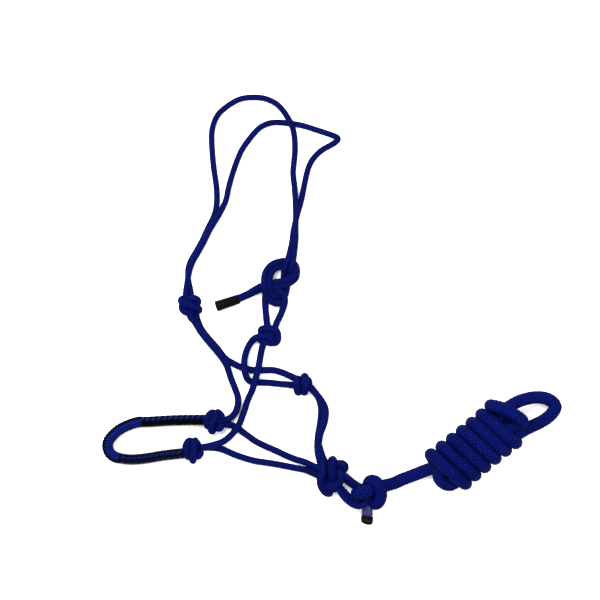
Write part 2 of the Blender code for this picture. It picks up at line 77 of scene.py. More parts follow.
# The halter's ropes between its knots. Most of their length lies within 1 mm of the CAD's routes,
# but the heel loop is up to 7 mm away from them.
ROUTES = {
    "cheek_rope_left": [
        (-51, -6, 8), (-50, -12, 7.5), (-49, -18.5, 8.5), (-45, -21.5, 10.6), (-38.5, -32.5, 10.6),
        (-30, -43.5, 10.6), (-21, -54.1, 10.6), (-13.4, -63.6, 10.6), (-8.4, -72, 9.4),
        (-4.4, -84.5, 4.4), (0.1, -96, 3.7), (3.8, -107, 3.7), (3.6, -116.7, 3.7),
        (-0.3, -126.1, 4.4), (-8.1, -131.8, 7), (-20.5, -134, 9),
    ],
    "throat_rope_upper": [
        (-45, -4, 5), (-44, -9.5, 3.7), (-42, -19, 3.7), (-37, -31, 3.7), (-28, -42.4, 3.7),
        (-19, -52.5, 3.7), (-12, -62, 3.7), (-5.5, -67, 3.7), (1, -70.5, 3.7),
        (8.5, -74, 3.7), (18.5, -76.5, 3.7), (29.5, -77, 3.7), (44, -76.8, 3.7),
        (55.5, -80.2, 3.7), (64.5, -84.2, 4), (73.5, -88, 5),
    ],
    "throat_rope_lower": [
        (31, -37.5, 8), (24.9, -40.5, 6.5), (18.6, -45.5, 3.9), (13.7, -54.7, 5.2),
        (11.3, -64.5, 9.8), (11.1, -73.4, 11.4), (12.5, -82.1, 9.2), (16, -88.5, 4.6),
        (23, -90.4, 3.7), (37, -90.8, 3.7), (51, -92.2, 3.7), (63.5, -93.3, 3.7), (73.5, -95, 5),
    ],
    "cheek_rope_right": [
        (34, -41, 5), (32, -47.5, 5), (29.7, -57.5, 6.4), (27.7, -69, 10.6), (25.6, -79, 11.5),
        (22.7, -90, 11.8), (19.5, -100, 9.2), (14.7, -110.5, 4.8), (11.3, -121.5, 5.4),
        (7.7, -131.5, 9.8), (4, -139.9, 11.4), (-3.8, -149.6, 10.8), (-12.5, -156.5, 10.8),
        (-24, -160.5, 11), (-38.5, -163.5, 11),
    ],
    "chin_rope_upper": [
        (-20.5, -138, 4), (-9.5, -137.6, 3.7), (-1.5, -138.9, 3.7), (5, -142.8, 3.7),
        (11.8, -147.8, 3.7), (23, -155.9, 3.7), (34.2, -161.6, 3.7), (45.4, -166.5, 3.7),
        (56.6, -171.8, 3.7), (67.8, -176.3, 3.7), (79, -179.7, 3.7), (89, -184.6, 4.5), (100, -189, 6),
    ],
    "chin_rope_lower": [
        (-41, -164, 3.7), (-32, -163.4, 3.7), (-24, -163.5, 3.7), (-13.5, -165.5, 3.7),
        (0.6, -171.4, 3.7), (11.8, -175.3, 3.7), (23, -178.4, 3.7), (34.2, -180.1, 3.7),
        (45.4, -181.8, 3.7), (56.6, -183.9, 3.7), (67.8, -186.2, 3.7),
        (79, -188.3, 3.7), (89, -192.4, 4.3), (100, -196.8, 6),
    ],
    "throat_drop_front": [
        (80, -93.5, 5), (87.3, -98.9, 3.7), (93.8, -107.5, 3.7), (97, -119.5, 3.7),
        (96.3, -134, 3.7), (93.5, -150.5, 3.7), (92.9, -166.5, 3.7), (95.4, -177.5, 3.8),
        (99.4, -186.5, 5),
    ],
    "throat_drop_back": [
        (80, -91.5, 9), (85.7, -96, 10.4), (94.3, -106.4, 11.2), (100.3, -115.7, 10.4),
        (102.2, -123, 9.6), (100.8, -135, 9.9), (96.1, -148, 10.8), (94.2, -160, 11),
        (95, -172, 12.5), (98.5, -181, 16.5), (99.7, -189, 18),
        (96.8, -198, 17), (96, -204.6, 14.5), (99.4, -210.4, 12), (104.8, -213.8, 11.5),
        (109.5, -210, 9),
    ],
    "tie_loop": [
        (39.2, -35.3, 5), (36.5, -26.3, 4.2), (35.5, -16.2, 3.7), (34.5, -5, 3.7), (34.2, 2.8, 3.7),
        (35.1, 9, 3.8), (38.6, 13, 4.4), (43.2, 14.2, 6.5), (48, 12, 8.6), (53.2, 9.8, 9.8),
        (56.1, 5, 9.2), (56.4, -0.6, 6), (54.4, -7.6, 4), (51.6, -15.1, 3.7), (47.6, -23, 4),
        (43.7, -35.3, 6),
    ],
    "heel_loop_upper": [
        (110, -190.5, 12), (116, -190.6, 15), (122, -193.2, 16.5), (128.5, -198, 16.8),
        (135, -203, 17), (141, -206.6, 17), (146, -209, 17), (148.4, -213.4, 17), (148.4, -219, 17),
        (145.8, -225.2, 17), (140, -228.9, 16.8), (132.5, -227.2, 16.8), (124, -220.6, 16.2),
        (117, -211, 15), (112, -203, 12),
    ],
    "heel_loop_lower": [
        (110, -194, 10), (116, -194.4, 9.8), (121.5, -197.4, 10), (127.4, -202.2, 10.4),
        (133.6, -206.6, 10.6), (139, -209.6, 10.6), (143.6, -212, 10.6), (145, -215.4, 10.6),
        (144, -219, 10.6),
        (141.4, -221.9, 10.6), (138, -222.6, 10.4), (132, -221.4, 10.2), (125.5, -215, 9.8),
        (118, -207, 9.6), (112, -201, 9),
    ],
}

# The crown's two strands as far as the hitch, then each one's way through the hitch to the cap.
CROWN_OUTER = [
    (-47.5, -2, 7), (-48.2, 5, 5), (-49.2, 12, 3.6), (-50.7, 19.5, 3.4), (-52, 27, 3.4),
    (-51.8, 37, 3.4), (-48.6, 46.5, 3.4), (-43.4, 55.2, 3.4), (-36, 68.5, 3.4),
    (-29.5, 82.5, 3.4), (-22.5, 97, 3.4), (-19.9, 111, 3.4), (-20.2, 128, 3.4),
    (-23.3, 150.5, 3.4), (-25.1, 171, 3.4),
    (-25.5, 187.5, 3.4), (-23.4, 198.6, 3.4), (-17.9, 209.9, 3.4), (-5.6, 220.4, 3.4),
    (7.5, 227, 3.4), (21.5, 228.5, 3.4), (35, 227, 3.6), (48.5, 220, 6.5),
    (58.5, 207.6, 10.3), (65, 194.5, 10.3), (67.5, 180, 6.5), (67.5, 165, 3.6),
    (65.6, 145, 3.4), (67.3, 127, 5.2), (68.2, 112.5, 9.6), (68.7, 98, 10.3),
    (68.4, 82.5, 10.3), (68.5, 72, 10.2),
]
CROWN_INNER = [
    (-53, -1, 7.5), (-54.6, 6, 8), (-54.2, 12, 8.8), (-53, 19.5, 9.6), (-51.9, 27, 9.8),
    (-49.4, 37, 9.9), (-45.9, 46.1, 9.9), (-40.9, 54.4, 9.9), (-34, 67, 10),
    (-27, 81, 10), (-18.4, 95.2, 9.6), (-13.1, 105, 8), (-9.2, 114.5, 5.2), (-6.4, 128, 3.6),
    (-1.4, 145.5, 3.4), (6.9, 167.2, 3.4),
    (16, 181, 3.4), (27.5, 194, 3.4), (38.5, 199.5, 3.4), (48.5, 200.5, 3.4), (62, 199.4, 3.4),
    (76, 197, 3.4), (93.5, 191.5, 3.4), (110, 186, 3.4), (116.5, 182.5, 3.4),
    (111, 177, 3.4), (96.5, 168.5, 3.4), (86.2, 157.2, 3.4), (81.4, 145, 3.4),
    (77.7, 128, 3.4), (74.6, 112.5, 3.4), (70, 96.5, 3.4), (66.1, 80, 3.4),
    (65, 71, 3.8),
]
TIED_OUTER = [
    (67.9, 63.3, 10), (66.9, 54.3, 10.3), (65.7, 45.4, 10.2), (63.8, 37.5, 8.6), (61.7, 30.2, 5.2),
    (60.1, 23, 3.4), (59.1, 16.2, 3.3), (57.9, 9.5, 3.2), (55.4, 2.8, 3.3), (51.4, -1.7, 3.9),
    (46.3, -2.6, 5.2), (40.4, 0.3, 9), (36, 6.2, 13), (33.6, 14, 16.2), (33, 23, 15.4),
    (34.1, 31.2, 12), (37.8, 38, 8), (43.6, 42.8, 5), (50.6, 45, 3.6), (57.7, 45.8, 3.3),
    (64.4, 44.2, 3.3), (69.1, 40.2, 3.3), (70.3, 34.2, 3.4), (69.5, 27.6, 4.4), (65.9, 23.1, 6.8),
    (60.6, 19.8, 9), (54.3, 18.1, 9.8), (48, 17.2, 10.2), (42, 15.8, 10.2), (35.3, 14.6, 9.6),
    (29.1, 13.3, 7.4), (23, 10.4, 5), (14.6, 6.6, 3.9), (4.5, 2.4, 3.9), (-14, -3.1, 3.9),
]
TIED_INNER = [
    (63.8, 63.3, 5), (62.2, 56.6, 7.6), (60.4, 49.3, 9.8), (58.3, 43.1, 10.3), (56.2, 37, 9.6),
    (55, 30.2, 6.2), (54.7, 24.1, 3.6), (54.3, 17.4, 3.3), (52.8, 10.6, 3.2), (50.1, 6.2, 3.4),
    (46.8, 4.1, 4.8), (43, 6.3, 8.4), (40.2, 11.8, 13), (38.9, 19.6, 15.8), (39.9, 27.3, 13.4),
    (42.5, 33.6, 9.4), (47.2, 37.6, 5.6), (52.9, 39.4, 3.6), (59.4, 40.4, 3.4), (65, 39.8, 4.2),
    (69.1, 37.1, 7.6), (69.1, 32.4, 10.4), (65.1, 27.7, 12), (59, 24.7, 12.3), (52.1, 22.8, 12),
    (45.4, 21.5, 11), (37.5, 19.4, 10.4), (30.8, 18.1, 10), (23, 14, 10), (14.6, 8.9, 10.2),
    (4.5, 4.6, 10.2), (-14, -1.1, 10.2),
]

NOSEBAND_ROUTE = [
    (-32, -132.5, 9), (-50, -132.5, 9), (-72, -133.1, 9), (-94.5, -134.5, 9),
    (-107, -134.9, 9), (-118, -138.2, 9), (-128.2, -143.2, 9), (-135.8, -149.8, 9),
    (-140.6, -156.1, 9), (-141.5, -163, 9), (-139.5, -168.5, 9), (-135, -172.7, 9),
    (-127.7, -175.2, 9), (-117, -176.7, 9), (-106, -176.2, 9), (-94.5, -174.7, 9),
    (-83.5, -172.7, 9), (-72, -171.2, 9), (-56, -169.5, 9),
]

# The turns of rope that show in each knot and the short lengths that fill its middle, each with
# its radius. Pulled tight over each other, the turns are squeezed wider than the free rope.
KNOT_TURNS = {
    "left_cheek_knot": [
        (4.2, [(-52.1, 1.7, 8), (-47.6, 3.5, 13), (-42.6, 3, 13.8), (-40.6, -0.6, 10),
               (-44.2, -2.8, 6)]),
        (4.0, [(-56.6, 3.4, 6), (-59.5, 2.1, 11), (-58.6, -0.6, 14.5), (-53.2, -2.4, 16),
               (-45.4, -5, 15.5), (-40.5, -7.3, 12.5), (-39.4, -9.8, 8), (-43.1, -10.6, 5)]),
        (3.9, [(-58.4, -2.8, 9), (-58.8, -7.1, 11), (-56.6, -10.8, 11.5),
               (-52.6, -12.4, 10), (-48.7, -10.6, 7)]),
        (3.5, [(-54.3, 5, 6), (-51, -2.8, 7), (-46.5, -10.6, 6)]),
        (3.9, [(-56.8, -5, 7), (-49.8, -7.3, 8), (-43, -8.4, 8)]),
        (3.6, [(-57, -3.2, 10.5), (-50, -4.2, 11.5), (-42.5, -6.5, 10)]),
    ],
    "right_cheek_knot": [
        (3.8, [(30.2, -35.9, 8), (29.6, -31.1, 12), (35.8, -29.8, 15), (42.2, -30.2, 15.5),
               (47.9, -33.3, 15), (49, -39.1, 14), (48.1, -44.4, 11), (44.6, -46.6, 8),
               (39, -45.5, 5)]),
        (3.7, [(18.2, -45.5, 5), (21.7, -41.5, 6.5), (27, -39.3, 9.5), (33.4, -38.6, 12.8),
               (39, -40.2, 13.6), (43.3, -43.4, 12), (44.2, -46, 8.5)]),
        (3.6, [(26.6, -42.6, 5.5), (31.8, -44.2, 8.5), (38.2, -46.2, 9), (43.2, -47.2, 8)]),
        (3.7, [(31.8, -33.5, 7), (39.8, -36.7, 8), (44.6, -41.5, 8)]),
        (3.7, [(31.5, -33.2, 10), (39, -35.5, 11), (45.5, -39, 10.5)]),
    ],
    "throat_knot": [
        (4.4, [(73.4, -88.7, 6), (70.2, -86.3, 9.5), (70, -91.1, 13.5), (70.2, -95.9, 14),
               (70.9, -101.5, 10), (73.4, -99.1, 5)]),
        (4.5, [(76.6, -87.1, 6), (79, -83.4, 10), (79.2, -88.7, 15), (79.1, -94.3, 15.8),
               (78.3, -101.3, 11.5), (76.2, -98.6, 6)]),
        (3.8, [(79.8, -86.3, 9), (82.6, -87.1, 11), (83.9, -91.1, 10.5),
               (82.3, -95.6, 8.5), (79.8, -96.7, 7)]),
        (3.8, [(68.2, -91.1, 6), (75, -92.7, 7), (83.6, -92.7, 6)]),
        (3.7, [(71.5, -92.3, 10.5), (76.5, -92.5, 11), (81.5, -91.8, 9)]),
    ],
    "nose_knot_upper": [
        (3.9, [(-21.1, -125.6, 7), (-25, -123.9, 12), (-29.1, -127.9, 15), (-31.3, -132.7, 15.5),
               (-30.8, -137.4, 13), (-28.4, -140, 8), (-25.9, -140.2, 5)]),
        (3.9, [(-15.9, -126.4, 7), (-18.5, -123.3, 12), (-21.8, -128.2, 16), (-24.1, -133.5, 17),
               (-25.6, -139.4, 15.5), (-26.1, -143.7, 11.5), (-24.8, -145.4, 8), (-23, -143.5, 5)]),
        (3.8, [(-20, -123.8, 8), (-15.9, -124.9, 11.5), (-14.1, -127.9, 11), (-14.7, -132, 8)]),
        (3.8, [(-21.5, -140.7, 7), (-18.1, -142.4, 10), (-15.1, -141.5, 11),
               (-14.2, -138.6, 10), (-16.2, -136, 7)]),
        (4.2, [(-31.7, -134.2, 8), (-24.5, -134.2, 8.5), (-16, -134.2, 8)]),
        (3.9, [(-20.5, -129, 10.5), (-22.5, -134, 12), (-24, -140, 10.5)]),
        (3.9, [(-28.5, -130, 10.5), (-28.5, -134, 10.8), (-27.5, -138, 9.5)]),
    ],
    "nose_knot_lower": [
        (4.4, [(-47.6, -156.6, 7), (-50.2, -156, 11), (-52.8, -158.6, 15), (-54.1, -163.3, 15.5),
               (-53.7, -169, 14), (-51.7, -173.2, 9), (-49.1, -171.5, 5)]),
        (4.0, [(-42.7, -155.9, 7), (-44.2, -155.5, 11.5), (-45.2, -158.1, 16), (-45.4, -164.1, 17),
               (-45.7, -170.8, 16), (-46.4, -175.6, 12.5), (-46.4, -178.4, 8), (-45.7, -175.6, 5)]),
        (3.8, [(-45.4, -156.3, 8), (-42, -157.2, 11.5), (-40.6, -159.6, 10.5), (-41.6, -162.6, 8)]),
        (3.8, [(-44.6, -172.8, 6), (-41.3, -173.7, 9), (-38.2, -171.4, 10),
               (-37.8, -168.4, 9), (-40.1, -166, 7)]),
        (4.2, [(-54.1, -166.6, 8), (-46.1, -166.3, 8.5), (-40.4, -164.8, 8)]),
        (3.9, [(-45, -159.5, 10.5), (-45.3, -165.5, 12), (-45.6, -172, 10.5)]),
        (3.9, [(-51.5, -160, 10.5), (-52, -165.5, 11), (-51, -170.5, 9.5)]),
    ],
    "fiador_knot": [
        (4.2, [(94.4, -171.9, 6), (96.2, -180.3, 8), (98.1, -186.9, 12), (98.1, -193.4, 15),
               (96.2, -198.5, 15.5), (96, -203.7, 14.5), (98.2, -208.8, 12), (101, -212.8, 9.5),
               (105.2, -215, 7.5), (108.4, -212.8, 5)]),
        (4.8, [(108.4, -203.2, 8), (109.6, -198.5, 14.5), (109, -191.5, 18.5), (108.5, -185, 20.5),
               (108.5, -179.9, 19.5), (109.8, -176.8, 13), (111.2, -178.9, 7)]),
        (4.5, [(112.6, -183.1, 11), (116.3, -181.4, 14), (121, -181.3, 14.5), (123.6, -183.9, 12.5),
               (123, -187.3, 9), (119.1, -188.3, 7)]),
        (4.3, [(114.9, -187.8, 9), (117.7, -190.8, 14), (119.1, -195.3, 16), (118.6, -200.4, 16.5),
               (114.9, -204.4, 17), (108.8, -206, 17), (103.4, -206.3, 15.5), (100, -205.5, 10)]),
        (4.0, [(99.5, -189.7, 7), (107, -194.3, 7), (117, -196.2, 7)]),
        (4.2, [(97.5, -196.5, 6), (103, -200.3, 8), (110, -202.5, 8)]),
        (3.6, [(94.9, -160, 9), (96.9, -168, 10), (99.4, -175.5, 10.5),
               (102.2, -181, 11), (104, -188, 11)]),
        (4.0, [(99.5, -205.5, 7), (107, -209.4, 8), (115, -209.6, 8)]),
        (4.0, [(105, -184, 8), (113, -186.9, 8), (119, -189.7, 8)]),
        (4.3, [(109.5, -183, 13), (109.5, -191, 13.5), (109.5, -199, 12.5)]),
        (4.2, [(101, -203, 11.5), (108, -204.5, 12), (115, -201, 11.5)]),
        (4.2, [(98.5, -192, 11), (99.5, -198, 11), (101, -204, 10.5)]),
    ],
}

# The lead, from the end of its short tail, through its knot on the heel loop, to the hank, and
# the loop that stands out at the hank's far end.
LEAD_KNOT_ROUTE = [
    (148.5, -243.5, 7), (148.6, -240, 7), (149, -230, 7), (150.2, -221.9, 7), (151.2, -216.5, 7.3),
    (151, -210.9, 9), (149.6, -204.8, 13), (151.2, -200.9, 17.5), (154.6, -199.7, 20.5),
    (158.4, -201.2, 21.8), (161.4, -204.9, 22), (163.3, -210.4, 21.5), (163.7, -216, 19),
    (162.6, -221.2, 16), (159.7, -225.8, 12), (155.9, -226.1, 9), (152.5, -221.6, 9),
    (146.9, -217.1, 10), (141.1, -216, 9), (137, -214.7, 12.5), (137.4, -213.7, 19),
    (141.7, -213.4, 24), (146.2, -212.4, 26), (150, -210.6, 22.5), (153.6, -208.9, 16),
    (158.9, -207.4, 10.5), (165.6, -206.4, 8.6), (178, -203.4, 7.8),
    (185.5, -200, 7.3), (201, -194, 7.1),
]
LEAD_END_LOOP = [
    (304.5, -119.5, 22), (309.5, -115.5, 21.6), (321, -110, 20), (337, -107, 13),
    (351, -109, 9), (359.5, -117, 7.3), (355, -125.5, 8.6), (345.5, -133, 12.5),
    (333, -139, 18), (324.5, -143, 21),
]
TAIL_THICKENS = (0, 0.012, 0.030)   # along the tail, from its own radius to the lead's

HANK_START = (226.5, -199.0)
HANK_DIRECTION = math.radians(38.9)
HANK_MIDDLE = 25.0
WRAPS = 6
WRAP_PITCH = 14.4
WRAP_LEAN = 2.4                 # how much further than half a pitch each turn leans on top
WRAP_HALF_WIDTH = 24.2
WRAP_HALF_HEIGHT = 17.8
WRAP_SHIFT = 1.6                # the hank's middle, to the left of its line
WRAP_FLARE = 1.5                # how much wider the turns are at the hank's ends
WRAP_TRIM = 0.4
WRAP_WANDER = 0.35              # how far a turn strays along the hank
WANDER_PACE = 5.1
WRAP_POINTS = 20                # points on each turn
LAST_POINTS = 8                 # points on the part turn that ends the winding
FIRST_WRAP_AT = 99.0            # where the last wound turn starts along the hank

# The lead's runs in the hank: places along it, to its left and above the floor.
INTO_HANK = [(-1, 15, 8.4), (10, 12, 13), (30, 9.5, 20), (60, 9, 21), (90, 10.5, 21.5)]
BACK_STRAND = [
    (95, -16, 20.5), (60, -13.5, 20), (30, -14.5, 18.5), (16, -14.8, 19), (7.2, -13.6, 20.5),
    (2.6, -5.5, 22), (3.9, 2.8, 23.6), (12, 5.5, 26), (35, -1, 29), (75, -2, 29), (96, -5, 25),
    (107, -10.5, 24), (115, -9.5, 31), (113, 1, 38.8), (107.6, 15.6, 42.2), (99, 27.2, 37),
]
TUCKED_END = [
    (12, -8, 9), (26, -1, 14.5), (50, 0, 15), (84, 1, 15), (104, 1.5, 15), (113, -4, 15),
]


# ---------------------------------------------------------------- lines and tubes

CURVE_POINTS = 24               # between two points of a route, before they are spread evenly
END_ROUNDING = 0.6              # how much of a radius a rope's end takes to close
END_SHUT = 0.02                 # the square of the share of its radius left at the very end
BRAID_DATUM = 0.75              # the strand height that lies at the rope's stated radius


def smooth_line(route, step):
    """Points step apart on the smooth curve through a route in millimetres, in metres."""
    knots = np.array(route, float) * MM
    ends = np.vstack([2 * knots[0] - knots[1], knots, 2 * knots[-1] - knots[-2]])
    share = np.linspace(0, 1, CURVE_POINTS, endpoint=False)[:, None]
    pieces = []
    for before, start, end, after in zip(ends, ends[1:], ends[2:], ends[3:]):
        pieces.append(0.5 * (
            2 * start + (end - before) * share
            + (2 * before - 5 * start + 4 * end - after) * share ** 2
            + (3 * start - before - 3 * end + after) * share ** 3))
    line = np.vstack([*pieces, knots[-1:]])
    return even(line, step)


def even(line, step):
    """The line again with its points step apart."""
    along = distances(line)
    count = max(3, int(round(along[-1] / step)) + 1)
    at = np.linspace(0, along[-1], count)
    return np.stack([np.interp(at, along, column) for column in line.T], axis=1)


def distances(line):
    """How far along the line each of its points is."""
    return np.concatenate([[0], np.cumsum(np.linalg.norm(np.diff(line, axis=0), axis=1))])


def softened(line, passes):
    """The line with its kinks eased, its two ends kept."""
    for _ in range(passes):
        line = line.copy()
        line[1:-1] = 0.25 * line[:-2] + 0.5 * line[1:-1] + 0.25 * line[2:]
    return line


def unit(vectors):
    """The same directions, one metre long."""
    return vectors / np.maximum(np.linalg.norm(vectors, axis=-1, keepdims=True), 1e-12)


def frames(line):
    """Two directions across the line at each point, turning as little as they can."""
    along = unit(np.gradient(line, axis=0))
    side = np.zeros_like(line)
    start = np.cross(along[0], (0, 0, 1))
    if np.linalg.norm(start) < 1e-3:
        start = np.cross(along[0], (0, 1, 0))
    side[0] = unit(start)
    for k in range(1, len(line)):
        side[k] = unit(side[k - 1] - along[k] * (side[k - 1] @ along[k]))
    return side, np.cross(along, side)


def braid(around, along, pairs, lean):
    """How high a braided rope's strand stands, 0 to 1: two sets of strands, two over, two under."""
    first = pairs * (around + lean * along)
    second = pairs * (around - lean * along)
    count = np.mod(np.floor(first) + np.floor(second), 4)
    over = count < 2
    across = np.where(over, first, second) % 1
    run = np.where(over, count + second % 1, count - 2 + first % 1) / 2
    arch = STRAND_LOW + STRAND_RISE * np.sin(np.pi * np.clip(run, 0, 1))
    return np.sin(np.pi * across) ** STRAND_ROUNDNESS * arch


def tube_arrays(line, radius, sides, weave, first=0):
    """The vertices, quads and weave coordinates of a braided tube with round ends."""
    side, up = frames(line)
    length = distances(line)
    radii = np.broadcast_to(np.asarray(radius, float), (len(line),)).copy()
    mean = float(radii.mean())
    taper = np.minimum(length, length[-1] - length) / (END_ROUNDING * mean)
    radii *= np.sqrt(np.clip(1 - (1 - np.clip(taper, 0, 1)) ** 2, END_SHUT, 1))
    turn = np.arange(sides) / sides
    v = length / (2 * np.pi * mean)
    pairs, lean, depth = weave
    height = braid(turn[None, :], v[:, None], pairs, lean)
    relief = depth * (height - BRAID_DATUM) * np.minimum(1, radii / mean)[:, None]
    reach = radii[:, None] + relief
    angle = 2 * np.pi * turn
    ring = np.cos(angle)[None, :, None] * side[:, None] + np.sin(angle)[None, :, None] * up[:, None]
    points = line[:, None] + reach[:, :, None] * ring
    count = len(line)
    index = np.arange(count * sides).reshape(count, sides) + first
    right = np.roll(index, -1, axis=1)
    quads = np.stack([index[:-1], right[:-1], right[1:], index[1:]], axis=-1).reshape(-1, 4)
    u0 = np.broadcast_to(turn, (count - 1, sides))
    u1 = u0 + 1 / sides
    v0 = np.broadcast_to(v[:-1, None], (count - 1, sides))
    v1 = np.broadcast_to(v[1:, None], (count - 1, sides))
    coordinates = np.stack([
        np.stack([u0, v0], -1), np.stack([u1, v0], -1),
        np.stack([u1, v1], -1), np.stack([u0, v1], -1)], axis=2).reshape(-1, 2)
    caps = [index[0][::-1], index[-1]]
    return points.reshape(-1, 3), quads, coordinates, caps


def braided_piece(name, lines, radius, material, sides, weave):
    """One object of one or several braided tubes; a list of radii gives one to each."""
    points, quads, coordinates, caps = [], [], [], []
    total = 0
    for k, line in enumerate(lines):
        own_radius = radius[k] if isinstance(radius, list) else radius
        tube = tube_arrays(line, own_radius, sides, weave, total)
        points.append(tube[0])
        quads.append(tube[1])
        coordinates.append(tube[2])
        caps += tube[3]
        total += len(tube[0])
    points, quads, coordinates = np.vstack(points), np.vstack(quads), np.vstack(coordinates)
    mesh = bpy.data.meshes.new(name)
    corners = np.concatenate([quads.ravel(), *caps]).astype(np.int32)
    sizes = np.concatenate([np.full(len(quads), 4), [len(cap) for cap in caps]]).astype(np.int32)
    starts = np.concatenate([[0], np.cumsum(sizes)[:-1]]).astype(np.int32)
    mesh.vertices.add(len(points))
    mesh.vertices.foreach_set("co", points.astype(np.float32).ravel())
    mesh.loops.add(len(corners))
    mesh.loops.foreach_set("vertex_index", corners)
    mesh.polygons.add(len(sizes))
    mesh.polygons.foreach_set("loop_start", starts)
    layer = mesh.uv_layers.new(name="weave")
    cap_coordinates = np.zeros((len(corners) - len(coordinates), 2))
    layer.data.foreach_set(
        "uv", np.vstack([coordinates, cap_coordinates]).astype(np.float32).ravel())
    mesh.update(calc_edges=True)
    mesh.validate()
    mesh.shade_smooth()
    mesh.materials.append(material)
    piece = bpy.data.objects.new(name, mesh)
    bpy.context.scene.collection.objects.link(piece)
    return piece


# ---------------------------------------------------------------- materials

class Nodes:
    """A short way to write a material's arithmetic."""

    def __init__(self, name):
        self.material = bpy.data.materials.new(name)
        self.material.use_nodes = True
        self.tree = self.material.node_tree
        self.shader = self.tree.nodes["Principled BSDF"]

    def add(self, kind, **values):
        node = self.tree.nodes.new(kind)
        for key, value in values.items():
            setattr(node, key, value)
        return node

    def feed(self, socket, value):
        if isinstance(value, bpy.types.NodeSocket):
            self.tree.links.new(value, socket)
        else:
            socket.default_value = value

    def maths(self, operation, *values):
        node = self.add("ShaderNodeMath", operation=operation)
        for socket, value in zip(node.inputs, values):
            self.feed(socket, value)
        return node.outputs[0]

    def noise(self, vector, scale, detail=2.0):
        node = self.add("ShaderNodeTexNoise")
        self.feed(node.inputs["Vector"], vector)
        node.inputs["Scale"].default_value = scale
        node.inputs["Detail"].default_value = detail
        return node.outputs["Fac"]

    def mix(self, share, first, second):
        node = self.add("ShaderNodeMix", data_type="RGBA")
        self.feed(node.inputs[0], share)
        self.feed(node.inputs[6], first)
        self.feed(node.inputs[7], second)
        return node.outputs[2]

    def bump(self, height, distance, strength):
        node = self.add("ShaderNodeBump")
        node.inputs["Distance"].default_value = distance
        node.inputs["Strength"].default_value = strength
        self.feed(node.inputs["Height"], height)
        self.feed(self.shader.inputs["Normal"], node.outputs["Normal"])


YARNS = 4                       # yarns that show on each strand
YARN_RELIEF = 0.12
FUZZ_RELIEF = 0.25
PATCH_SCALE = 38.0
FUZZ_SCALE = 1400.0
# Painted shade between strands: the power on strand height that keeps the gaps dark.
GAP_SHADE_POWER = 1.4
HIGHLIGHT_AND_WEAR = 0.75                     # how light the strand tops are painted, as highlight and wear together
SECOND_SET = 40.0               # keeps the second set of strands' shades apart from the first's
DARKEST_SHADE = 0.86
STRAND_SHADES = 0.22
FUZZ_SHADES = 0.12
SHEEN_TINT = (0.10, 0.14, 0.80, 1)
ROPE_SPECULAR = 0.008
ROPE_BUMP = (0.00022, 0.8)      # depth and strength
